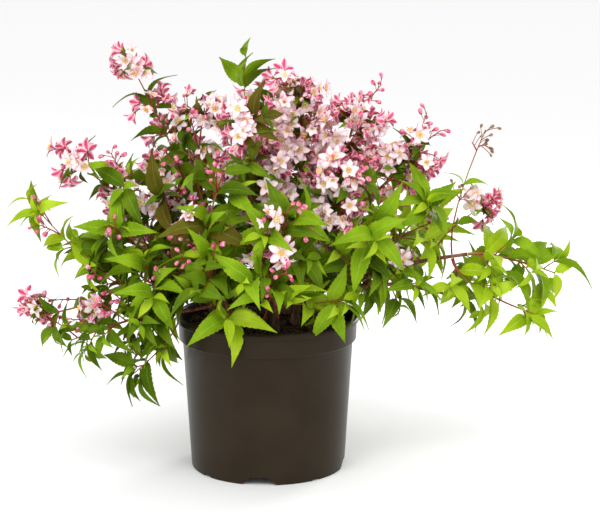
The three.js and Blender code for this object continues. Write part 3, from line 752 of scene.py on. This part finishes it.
def add_cluster(curve, mass, random, start, count, shut):
    # Flowers or buds on fine stalks round the end of a shoot, all ways from it.
    for i in range(count):
        t = start + (1 - start) * (i + 0.5) / count
        root, tangent = curve.at(t), curve.heading(t)
        stray = np.array([random(), random(), random()]) - 0.5
        aside = around(tangent, GOLDEN_TURN * i + 6 * random())
        out = blend((aside, 0.8), (tangent, 0.2 + 0.7 * t), (stray, 0.5))
        in_bud = shut or random() < IN_BUD_SHARE
        shortest = SPENT_STALK if mass.spent else BUD_STALK if in_bud else FLOWER_STALK
        end = root + out * (shortest + STALK_RANGE * random())
        if not has_room(end):
            continue
        tube(stalks, [root, (root + end) / 2 + 0.6 * UP, end], STALK_RADII, 4)
        if in_bud:
            size = 4 + 1.5 * random() if mass.spent else 5 + 2.6 * random()
            hanging = blend((out, 1), (UP, -0.4), (stray, 0.6))
            buds["spent" if mass.spent else "pink"].append((end, hanging, size))
        else:
            sky = sky_at(end, (random() - 0.5) * LEAN)
            facing = blend((out, 0.9), (sky, 0.22), (UP, -0.5), (stray, 1.2))
            flowers.append((end, facing, 0.92 + 0.26 * random(), random()))


def add_shoot(root, direction, length, mass, random, kind):
    # A side shoot of one kind: leaves, flowers, or a bare stalk of buds that stands out of the leaves.
    end = root + direction * length - UP * length * (0.1 + 0.1 * random())
    if not (has_room(end) and has_room(root + direction * length * 0.6)):
        return
    curve = Curve(root, root + direction * length * 0.5, end)
    tube(twigs if kind == "leaves" else stalks, [curve.at(t) for t in (0, 0.35, 0.7, 1)], SHOOT_RADII)
    tone = pick_tone(mass, random)
    size = mass.leaf * LIFE_SIZE
    turn = random() * math.pi
    if kind == "buds":
        add_cluster(curve, mass, random, 0.45, 4 + int(4 * random()), True)
    elif kind == "flowers":
        if not mass.spent:
            add_leaf_pair(curve, 0.15, turn, 0.7 * size, mass, tone, random)
        fewest = 6 if mass.shoot > LONG_SHOOT else 2 if mass.spent else 4
        add_cluster(curve, mass, random, 0.35, fewest + int(4 * random()), mass.spent)
    else:
        pairs = max(1, round(length / PAIR_SPACING))
        for i in range(pairs):
            t = 0.35 + 0.6 * (i + 0.5) / pairs
            smaller = size * (1 - 0.25 * i / pairs)
            add_leaf_pair(curve, t, turn + i * math.pi / 2, smaller, mass, tone, random)
        lighter = TONES[max(0, TONES.index(tone) - 1)]
        add_leaf_pair(curve, TIP, turn + pairs * math.pi / 2, 0.5 * size, mass, lighter, random)


def grow_pairs(mass, number, stem, turn):
    # The main opposite shoots, each pair a quarter turn on from the last.
    for pair in range(mass.pairs):
        turn += math.pi / 2
        share = pair / max(1, mass.pairs - 1)
        for half in (0, 1):
            t = mass.bare + (LAST_PAIR - mass.bare) * share - half * SHOOT_STAGGER / stem.length()
            root, tangent = stem.at(t), stem.heading(t)
            random = seeded_random(SEED + 1000 * number + 1 + 2 * pair + half)
            aside = around(tangent, turn + half * math.pi + (random() - 0.5) * 0.6)
            direction = blend((aside, 0.85), (tangent, 0.5), (UP, mass.lift))
            length = mass.shoot * (1 - 0.3 * t) * (0.75 + 0.5 * random())
            if mass.shoot > SHORTEST_SHOOT:
                kind = "flowers" if random() < mass.bloom else "leaves"
                add_shoot(root, direction, length, mass, random, kind)
            else:
                tone = pick_tone(mass, random)
                add_leaf(stem, t, turn + half * math.pi, mass.leaf * LIFE_SIZE, mass, tone, random)


def grow_joints(mass, stem, turn, random):
    # Leaf pairs at the joints of the mass's own stem, between the shoots.
    joints = round((1 - 0.6 * mass.bare) * stem.length() / NODE_SPACING)
    if mass.spent:
        joints = 1
    elif mass.shoot <= SHORTEST_SHOOT:
        joints = 0
    for joint in range(joints):
        t = 0.6 * mass.bare + (LAST_JOINT - 0.6 * mass.bare) * (joint + 0.5) / joints
        angle = turn + joint * math.pi / 2 + 0.6
        tone = pick_tone(mass, random)
        add_leaf_pair(stem, t, angle, mass.leaf * LIFE_SIZE, mass, tone, random)


def grow_finer(mass, stem, turn, random):
    # Finer shoots between the main pairs, and bud stalks that stand beyond them.
    shoots = mass.finer * mass.pairs
    for shoot in range(shoots):
        t = mass.bare + (LAST_JOINT - mass.bare) * (shoot + random()) / shoots
        root, tangent = stem.at(t), stem.heading(t)
        aside = around(tangent, GOLDEN_TURN * shoot + turn)
        direction = blend((aside, 0.85), (tangent, 0.5), (UP, mass.lift))
        if random() < mass.sprays:
            out = blend((direction, 0.8), (sky_at(root, 0), 0.7), (UP, 0.5))
            add_shoot(root, out, 1.25 * mass.shoot + 8, mass, random, "buds")
        else:
            kind = "flowers" if random() < mass.bloom else "leaves"
            length = mass.shoot * (0.55 + 0.35 * random())
            add_shoot(root, direction, length, mass, random, kind)


def grow_mass(number, mass):
    radii = SPRIG_RADII if mass.shoot <= LONGEST_SPRIG_SHOOT else STEM_RADII
    stem = branch(limbs[mass.limb], mass.at, place(*mass.end), mass.bend, radii)
    steps = 2 * mass.pairs + 4
    tube(twigs, [stem.at(i / steps) for i in range(steps + 1)], radii, 6)
    turn = seeded_random(SEED + 1000 * number)() * math.pi
    grow_pairs(mass, number, stem, turn)
    random = seeded_random(SEED + 1000 * number + 500)
    grow_joints(mass, stem, turn, random)
    grow_finer(mass, stem, turn, random)
    if random() < mass.bloom:
        start = 1 - CLUSTER_LENGTH / stem.length()
        add_cluster(stem, mass, random, start, 5 if mass.spent else 7, mass.spent)
    else:
        add_leaf_pair(stem, TIP, turn, 0.6 * mass.leaf * LIFE_SIZE, mass, mass.tone, random)


for number, mass in enumerate(MASSES):
    grow_mass(number, mass)

young_twig = mottled_finish(
    "young_twig",
    [(0.28, 0.025, 0.012), (0.32, 0.09, 0.025), (0.26, 0.24, 0.03)],
    patches=28, grain=900, roughness=(0.5, 0.65), bump=0.2, depth=0.2,
)
green_twigs = twigs.piece("foliage_twigs", young_twig, "front_low")
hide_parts(*[mass.name for mass in MASSES])
stalk_red = mottled_finish(
    "stalk_red",
    [(0.22, 0.015, 0.015), (0.32, 0.035, 0.03), (0.34, 0.12, 0.05)],
    patches=60, grain=900, roughness=(0.5, 0.65), bump=0.1, depth=0.1,
)
stalks.piece("flower_stalks", stalk_red, "dome_centre")

# The leaves: thin, pointed and finely toothed, in opposite pairs. Each is a closed blade of its own
# outline, folded at the midrib, that droops and twists a little. Fresh shoots are yellow-green, the
# inner ones dark, and those among the flowers are bronzed.
LEAF_STATIONS = [0, 0.05, 0.14, 0.26, 0.38, 0.5, 0.62, 0.74, 0.86, 1]
LEAF_HALF_WIDTHS = [0.016, 0.026, 0.120, 0.174, 0.186, 0.174, 0.144, 0.100, 0.049, 0.004]
LEAF_COLUMNS = (-1, -0.5, 0, 0.5, 1)
LEAF_FOOT = 0.06
LEAF_TEETH = 10
TOOTH_DEPTH = 0.06
LEAF_FORMS = 8
LEAF_SEED = 900
BLADE_THICKNESS = 0.012
# The sockets of a Mix node that is set to colours
MIX_SHARE, FIRST_COLOUR, SECOND_COLOUR, MIXED_COLOUR = 0, 6, 7, 2


def facing_out(corners, faces):
    # The same faces, each turned so that the closed form looks outwards.
    form = bmesh.new()
    points = [form.verts.new(c) for c in corners]
    for face in faces:
        form.faces.new([points[i] for i in face])
    bmesh.ops.recalc_face_normals(form, faces=form.faces)
    form.verts.index_update()
    turned = [[v.index for v in f.verts] for f in form.faces]
    form.free()
    return turned


def blade(stations, half_widths, columns, height):
    # A thin closed blade: an upper face over many columns, and an under face folded at the midrib.
    corners, maps, upper, under = [], [], [], []
    for x, half in zip(stations, half_widths):
        upper.append([])
        for c in columns:
            upper[-1].append(len(corners))
            corners.append((x, c * half, height(x, c)))
            maps.append((x, 0.5 + 0.5 * c))
        under.append([upper[-1][0], len(corners), upper[-1][-1]])
        corners.append((x, 0, height(x, 0) - BLADE_THICKNESS))
        maps.append((x, 0.5))
    faces = []
    for rows in (upper, under):
        for row, ahead in zip(rows, rows[1:]):
            faces += [[row[k], ahead[k], ahead[k + 1], row[k + 1]] for k in range(len(row) - 1)]
    for end in (0, -1):
        faces.append(upper[end] + under[end][-2:0:-1])
    return np.array(corners), facing_out(corners, faces), np.array(maps, np.float32)


def toothed_outline():
    # Each tooth runs out along the margin and steps back in, towards the tip of the leaf.
    stations, half_widths = [0, LEAF_FOOT], [0.016, 0.03]
    for tooth in range(LEAF_TEETH):
        out = LEAF_FOOT + (1 - LEAF_FOOT) * (tooth + 0.85) / LEAF_TEETH
        back = LEAF_FOOT + (1 - LEAF_FOOT) * (tooth + 1) / LEAF_TEETH
        for x, share in ((out, 1 + TOOTH_DEPTH), (back, 1 - TOOTH_DEPTH)):
            stations.append(x)
            half_widths.append(share * float(np.interp(x, LEAF_STATIONS, LEAF_HALF_WIDTHS)))
    return stations, half_widths


def leaf_form(number):
    # One leaf of length 1 along x, with its own droop, fold, twist and sickle bend.
    random = seeded_random(LEAF_SEED + number)
    droop = 0.08 + 0.3 * random()
    fold = 0.12 + 0.3 * random()
    twist = 0.35 * (random() - 0.5)
    sickle = 0.16 * (random() - 0.5)

    def height(x, c):
        half = np.interp(x, LEAF_STATIONS, LEAF_HALF_WIDTHS)
        arch = 0.12 * math.sin(math.pi * x) - droop * x * x
        pucker = 0.012 * math.sin(math.pi * abs(c)) if x > 0.1 else 0
        return arch + half * abs(c) * fold + pucker + twist * half * c * x

    corners, faces, maps = blade(*toothed_outline(), LEAF_COLUMNS, height)
    corners[:, 1] += sickle * corners[:, 0] ** 2
    return corners, faces, maps


def add_mix(tree, second):
    # A mix of a colour that is wired in with a plain one.
    mix = tree.nodes.new("ShaderNodeMix")
    mix.data_type = "RGBA"
    mix.inputs[SECOND_COLOUR].default_value = (*second, 1)
    return mix


def blade_place(tree):
    # Where a point lies on a blade: its place along it, and how far from the midline it is.
    blade_map = tree.nodes.new("ShaderNodeUVMap")
    blade_map.uv_map = "UVMap"
    split = tree.nodes.new("ShaderNodeSeparateXYZ")
    aside = add_math(tree, "SUBTRACT", 0.5)
    off_midline = add_math(tree, "ABSOLUTE")
    wire(
        tree,
        (blade_map, "UV", split, "Vector"), (split, "Y", aside, 0), (aside, "Value", off_midline, 0),
    )
    return split, off_midline


def leaf_finish(name, colours, rib, edge):
    # Three tones from leaf to leaf, a pale midrib and side veins, and a tinted margin.
    finish = mottled_finish(
        name, colours, patches=34, grain=420, roughness=(0.42, 0.6), bump=0.25, depth=0.35, sheen=0.06,
    )
    tree = finish.node_tree
    place_on_blade, off_midline = blade_place(tree)
    rib_mask = add_range(tree, 0.035, 0, 0, 0.7)
    edge_mask = add_range(tree, 0.42, 0.5, 0, 0.6)
    vein_path = add_math(tree, "MULTIPLY_ADD", 0.9)
    to_vein = add_math(tree, "PINGPONG", 0.07)
    vein_mask = add_range(tree, 0.012, 0, 0, 0.38)
    rib_or_vein = add_math(tree, "MAXIMUM")
    with_rib, with_edge = add_mix(tree, rib), add_mix(tree, edge)
    wire(
        tree,
        (off_midline, "Value", rib_mask, "Value"), (off_midline, "Value", edge_mask, "Value"),
        (off_midline, "Value", vein_path, 0), (place_on_blade, "X", vein_path, 2),
        (vein_path, "Value", to_vein, 0), (to_vein, "Value", vein_mask, "Value"),
        (rib_mask, "Result", rib_or_vein, 0), (vein_mask, "Result", rib_or_vein, 1),
        (rib_or_vein, "Value", with_rib, MIX_SHARE), (edge_mask, "Result", with_edge, MIX_SHARE),
        (tree.nodes["tones"], "Color", with_rib, FIRST_COLOUR),
        (with_rib, MIXED_COLOUR, with_edge, FIRST_COLOUR),
        (with_edge, MIXED_COLOUR, tree.nodes["Principled BSDF"], "Base Color"),
    )
    return finish


leaf_finishes = {
    "fresh": leaf_finish(
        "leaf_fresh", [(0.24, 0.38, 0.003), (0.33, 0.485, 0.006), (0.43, 0.59, 0.028)],
        rib=(0.52, 0.68, 0.12), edge=(0.40, 0.52, 0.03),
    ),
    "green": leaf_finish(
        "leaf_green", [(0.12, 0.23, 0.002), (0.18, 0.32, 0.004), (0.25, 0.41, 0.010)],
        rib=(0.36, 0.50, 0.07), edge=(0.27, 0.34, 0.02),
    ),
    "deep": leaf_finish(
        "leaf_deep", [(0.05, 0.10, 0.001), (0.09, 0.17, 0.002), (0.14, 0.24, 0.006)],
        rib=(0.24, 0.33, 0.05), edge=(0.18, 0.15, 0.015),
    ),
    "bronze": leaf_finish(
        "leaf_bronze", [(0.065, 0.045, 0.005), (0.09, 0.082, 0.005), (0.12, 0.13, 0.006)],
        rib=(0.24, 0.20, 0.04), edge=(0.22, 0.06, 0.02),
    ),
}
leaf_forms = [leaf_form(number) for number in range(LEAF_FORMS)]
for tone, placed in leaves.items():
    sheaf = Sheaf()
    for root, along, sky, size, chance in placed:
        corners, faces, maps = leaf_forms[int(chance * LEAF_FORMS)]
        face = unit(sky - along * sky.dot(along))
        turn = np.array([along, np.cross(face, along), face])
        sheaf.add(root + size * (corners @ turn), faces, maps)
    sheaf.piece("leaves_" + tone, leaf_finishes[tone], "front_low")

# The flowers: nodding stars of five petals about 20 mm across, white inside, deep pink outside with
# a pale margin. Inside is a ring of cream filaments with orange-yellow anthers, and behind each
# sits a small red calyx. A petal is two thin blades, an inner and an outer.
PETAL_STATIONS = [0, 0.24, 0.54, 0.82, 1]
PETAL_HALF_WIDTHS = [0.08, 0.23, 0.31, 0.23, 0.03]
PETAL_COLUMNS = (-1, 0, 1)
PETAL_LENGTH = 11
PETAL_FOOT = 0.9
OUTSIDE_WIDTH, OUTSIDE_DEPTH = 0.93, 0.03
STEEPEST_PETAL, OPENING_STEP = 70, 12
FLOWER_FORMS = 5
FLOWER_SEED = 1700
# Part, how many, half sizes, distance from the axis, and height
STAMENS = (("filaments", 5, (0.9, 0.9, 2.4), 1.7, 3.0), ("anthers", 7, (0.9, 0.9, 0.8), 2.0, 5.0))
CUP_RADIUS = 1.9
FLOWER_PARTS = ("inside", "outside", "filaments", "anthers", "calyx")

octahedron = np.array([[1, 0, 0], [-1, 0, 0], [0, 1, 0], [0, -1, 0], [0, 0, 1], [0, 0, -1]], float)
octahedron_faces = facing_out(octahedron, [[a, b, c] for a in (0, 1) for b in (2, 3) for c in (4, 5)])


def spun(corners, degrees):
    angle = math.radians(degrees)
    cosine, sine = math.cos(angle), math.sin(angle)
    return corners @ np.array([[cosine, sine, 0], [-sine, cosine, 0], [0, 0, 1]])


def petal_height(x, c):
    bow = math.sin(math.pi * x)
    return 0.1 * c * c * bow + 0.12 * bow - 0.16 * x * x


def add_petal(parts, petal, number, random):
    # An inner and an outer blade, closed the more the lower the flower's number is.
    rise = math.radians(STEEPEST_PETAL - OPENING_STEP * number + 10 * (random() - 0.5))
    cosine, sine = math.cos(rise), math.sin(rise)
    tilt = np.array([[cosine, 0, sine], [0, 1, 0], [-sine, 0, cosine]])
    for layer, width, depth in (("inside", 1, 0), ("outside", OUTSIDE_WIDTH, -OUTSIDE_DEPTH)):
        widths = [width * half for half in PETAL_HALF_WIDTHS]
        corners, faces, maps = blade(PETAL_STATIONS, widths, PETAL_COLUMNS, petal_height)
        corners = (corners + np.array([0, 0, depth])) @ tilt * PETAL_LENGTH + np.array([PETAL_FOOT, 0, 0])
        parts[layer].append((spun(corners, petal * 72 + 8 * (random() - 0.5)), faces, maps))


def flower_form(number):
    # Five petals, the stamens with their cream heart, and the calyx, round one axis.
    random = seeded_random(FLOWER_SEED + number)
    parts = {part: [] for part in FLOWER_PARTS}
    for petal in range(5):
        add_petal(parts, petal, number, random)
    heart = octahedron * np.array([2.6, 2.6, 1.2]) + np.array([0, 0, 1.4])
    parts["filaments"].append((heart, octahedron_faces, None))
    for layer, count, size, reach, rise in STAMENS:
        for i in range(count):
            corners = octahedron * np.array(size) + np.array([reach * (0.7 + 0.6 * random()), 0, rise])
            parts[layer].append((spun(corners, i * 360 / count + 30 * random()), octahedron_faces, None))
    angles = np.linspace(0, 2 * math.pi, 6)[:-1]
    cup = [[CUP_RADIUS * math.cos(a), CUP_RADIUS * math.sin(a), 0.4] for a in angles]
    cup = np.array(cup + [[0, 0, -2.6], [0, 0, 0.2]])
    sides = [[i, (i + 1) % 5, end] for end in (5, 6) for i in range(5)]
    parts["calyx"].append((cup, facing_out(cup, sides), None))
    return parts


def petal_finish(name, middle, margin, margin_range):
    # One colour down the middle of the petal that runs into another at its margin.
    finish = mottled_finish(
        name, [middle, middle, middle], patches=60, grain=500, roughness=(0.5, 0.6), bump=0.1, depth=0.2,
    )
    tree = finish.node_tree
    _, off_midline = blade_place(tree)
    margin_mask = add_range(tree, *margin_range)
    with_margin = add_mix(tree, margin)
    wire(
        tree,
        (off_midline, "Value", margin_mask, "Value"), (margin_mask, "Result", with_margin, MIX_SHARE),
        (tree.nodes["tones"], "Color", with_margin, FIRST_COLOUR),
        (with_margin, MIXED_COLOUR, tree.nodes["Principled BSDF"], "Base Color"),
    )
    return finish


flower_finishes = {
    "inside": petal_finish("petal_inside", (0.98, 0.88, 0.89), (0.93, 0.42, 0.52), (0.28, 0.54)),
    "outside": petal_finish("petal_outside", (0.72, 0.08, 0.20), (0.97, 0.68, 0.75), (0.18, 0.44)),
    "filaments": mottled_finish(
        "filament_cream", [(0.94, 0.74, 0.34), (0.96, 0.82, 0.46), (0.97, 0.88, 0.60)],
        patches=80, grain=700, roughness=(0.5, 0.6), bump=0.1, depth=0.1,
    ),
    "anthers": mottled_finish(
        "anther_yellow", [(0.90, 0.46, 0.06), (0.93, 0.57, 0.12), (0.95, 0.68, 0.20)],
        patches=120, grain=900, roughness=(0.6, 0.8), bump=0.2, depth=0.1,
    ),
    "calyx": mottled_finish(
        "calyx_red", [(0.16, 0.03, 0.03), (0.22, 0.06, 0.04), (0.2, 0.14, 0.05)],
        patches=50, grain=700, roughness=(0.5, 0.65), bump=0.1, depth=0.1,
    ),
}
flower_forms = [flower_form(number) for number in range(FLOWER_FORMS)]
flower_sheaves = {part: Sheaf() for part in FLOWER_PARTS}
for centre, facing, size, chance in flowers:
    level = around(facing, 40 * chance)
    turn = np.array([level, np.cross(facing, level), facing])
    for part, copies in flower_forms[int(chance * FLOWER_FORMS)].items():
        for corners, faces, maps in copies:
            flower_sheaves[part].add(centre + size * (corners @ turn), faces, maps)
for part, sheaf in flower_sheaves.items():
    sheaf.piece("flower_" + part, flower_finishes[part], "dome_centre")

# The buds: smooth pink drops 5 to 8 mm long on the ends of fine stalks, each in its small calyx.
# On the one spent sprig they are small and brown. All are one rounded form, wider towards the tip.
BUD_HALF_WIDTH, BUD_WIDENING = 0.34, 0.06
BUD_HALF_LENGTH, BUD_MIDDLE = 0.5, 0.45
BUD_CUP = 0.1

start_piece()
bpy.ops.mesh.primitive_uv_sphere_add(segments=7, ring_count=6, radius=1)
bud_corners, bud_faces = form_of_primitive()
bud_corners[:, :2] *= BUD_HALF_WIDTH + BUD_WIDENING * bud_corners[:, 2:]
bud_corners[:, 2] = BUD_HALF_LENGTH * bud_corners[:, 2] + BUD_MIDDLE
bud_finishes = {
    "pink": mottled_finish(
        "bud_pink", [(0.56, 0.03, 0.12), (0.78, 0.18, 0.30), (0.93, 0.56, 0.62)],
        patches=260, grain=600, roughness=(0.4, 0.5), bump=0.1, depth=0.1,
    ),
    "spent": mottled_finish(
        "bud_spent", [(0.20, 0.10, 0.07), (0.30, 0.20, 0.11), (0.40, 0.34, 0.20)],
        patches=140, grain=600, roughness=(0.5, 0.7), bump=0.2, depth=0.1,
    ),
}
cup_corners, cup_faces, _ = flower_forms[0]["calyx"][0]
cups = Sheaf()
for kind, placed in buds.items():
    drops = Sheaf()
    for root, along, length in placed:
        level = around(along, length)
        turn = np.array([level, np.cross(along, level), along])
        drops.add(root + length * (bud_corners @ turn), bud_faces)
        cups.add(root + BUD_CUP * length * (cup_corners @ turn), cup_faces)
    drops.piece("buds_" + kind, bud_finishes[kind], "dome_centre")
cups.piece("bud_cups", flower_finishes["calyx"], "dome_centre")
